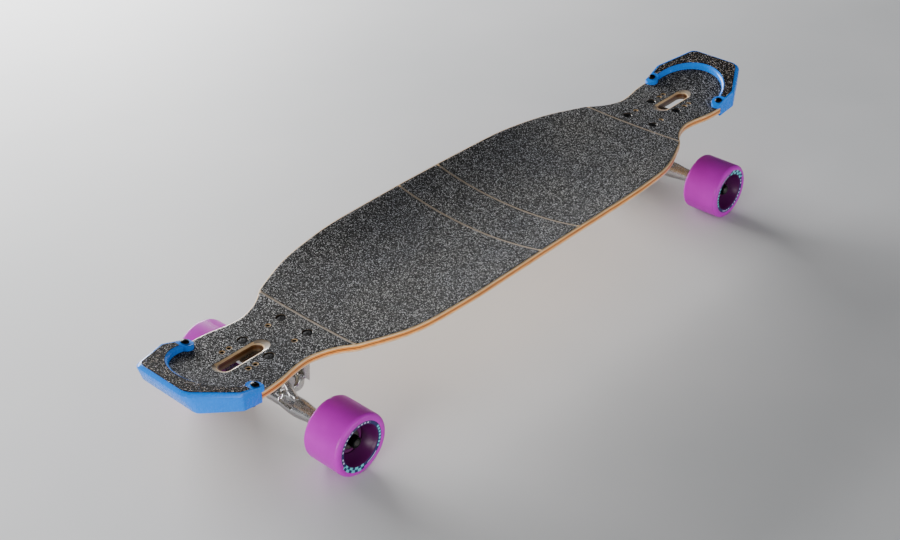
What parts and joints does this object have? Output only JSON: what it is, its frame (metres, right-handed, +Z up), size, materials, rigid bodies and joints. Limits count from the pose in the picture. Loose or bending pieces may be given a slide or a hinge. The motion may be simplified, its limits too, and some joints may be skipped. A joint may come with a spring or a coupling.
{
  "type": "longboard skateboard",
  "caption": "Top-mount longboard with wheel cut-outs, kicked ends under horseshoe bumpers, grip on top and reverse-kingpin trucks that steer as the deck leans.",
  "frame": {"origin": "on the ground under the middle of the deck, level with the wheels' lowest points", "axes": "+X to the front end, +Y to the left, +Z up"},
  "size_m": [0.976, 0.2564, 0.1419],
  "materials": {
    "maple": "laminated maple, clear coat",
    "grip": "black grit sheet",
    "blue_plastic": "glossy",
    "purple_urethane": "satin urethane",
    "magenta_plastic": "satin",
    "truck_metal": "polished",
    "steel": "zinc plated",
    "black_steel": "black oxide",
    "cream_urethane": "satin urethane"
  },
  "bodies": {
    "board": {"deck": "maple", "centre_grip": "grip", "front_end_grip": "grip", "front_platform_grip": "grip", "front_bumper": "blue_plastic", "front_bumper_grip": "grip", "front_baseplate": "truck_metal", "front_pivot_cup": "cream_urethane", "front_kingpin": "steel", "front_boardside_bushing": "cream_urethane", "front_boardside_washer": "steel", "front_roadside_bushing": "cream_urethane", "front_roadside_washer": "steel", "front_left_bumper_screw": "black_steel", "front_left_inner_bolt": "black_steel", "front_left_outer_bolt": "black_steel", "front_right_bumper_screw": "black_steel", "front_right_inner_bolt": "black_steel", "front_right_outer_bolt": "black_steel", "rear_end_grip": "grip", "rear_platform_grip": "grip", "rear_bumper": "blue_plastic", "rear_bumper_grip": "grip", "rear_baseplate": "truck_metal", "rear_pivot_cup": "cream_urethane", "rear_kingpin": "steel", "rear_boardside_bushing": "cream_urethane", "rear_boardside_washer": "steel", "rear_roadside_bushing": "cream_urethane", "rear_roadside_washer": "steel", "rear_left_bumper_screw": "black_steel", "rear_left_inner_bolt": "black_steel", "rear_left_outer_bolt": "black_steel", "rear_right_bumper_screw": "black_steel", "rear_right_inner_bolt": "black_steel", "rear_right_outer_bolt": "black_steel"},
    "front_truck": {"front_hanger": "truck_metal", "front_axle": "steel", "front_left_axle_nut": "black_steel", "front_right_axle_nut": "black_steel"},
    "front_left_wheel": {"front_left_tyre": "purple_urethane", "front_left_core": "magenta_plastic", "front_left_inner_bearing": "steel", "front_left_outer_bearing": "steel"},
    "front_right_wheel": {"front_right_tyre": "purple_urethane", "front_right_core": "magenta_plastic", "front_right_inner_bearing": "steel", "front_right_outer_bearing": "steel"},
    "rear_truck": {"rear_hanger": "truck_metal", "rear_axle": "steel", "rear_left_axle_nut": "black_steel", "rear_right_axle_nut": "black_steel"},
    "rear_left_wheel": {"rear_left_tyre": "purple_urethane", "rear_left_core": "magenta_plastic", "rear_left_inner_bearing": "steel", "rear_left_outer_bearing": "steel"},
    "rear_right_wheel": {"rear_right_tyre": "purple_urethane", "rear_right_core": "magenta_plastic", "rear_right_inner_bearing": "steel", "rear_right_outer_bearing": "steel"}
  },
  "joints": [
    {"name": "front_steer", "type": "hinge", "parent": "board", "child": "front_truck", "pos_m": [0.34367, 0, 0.07068], "axis": [0.6428, 0, 0.766], "range_deg": [-20, 20], "stiffness_Nm_per_rad": 40, "deforming": ["front_boardside_bushing", "front_roadside_bushing"]},
    {"name": "front_left_spin", "type": "hinge", "parent": "front_truck", "child": "front_left_wheel", "pos_m": [0.3424, 0.1032, 0.0365], "axis": [0, 1, 0], "continuous": true},
    {"name": "front_right_spin", "type": "hinge", "parent": "front_truck", "child": "front_right_wheel", "pos_m": [0.3424, -0.1032, 0.0365], "axis": [0, 1, 0], "continuous": true},
    {"name": "rear_steer", "type": "hinge", "parent": "board", "child": "rear_truck", "pos_m": [-0.34367, 0, 0.07068], "axis": [-0.6428, 0, 0.766], "range_deg": [-20, 20], "stiffness_Nm_per_rad": 40, "deforming": ["rear_boardside_bushing", "rear_roadside_bushing"]},
    {"name": "rear_left_spin", "type": "hinge", "parent": "rear_truck", "child": "rear_left_wheel", "pos_m": [-0.3424, 0.1032, 0.0365], "axis": [0, 1, 0], "continuous": true},
    {"name": "rear_right_spin", "type": "hinge", "parent": "rear_truck", "child": "rear_right_wheel", "pos_m": [-0.3424, -0.1032, 0.0365], "axis": [0, 1, 0], "continuous": true}
  ]
}
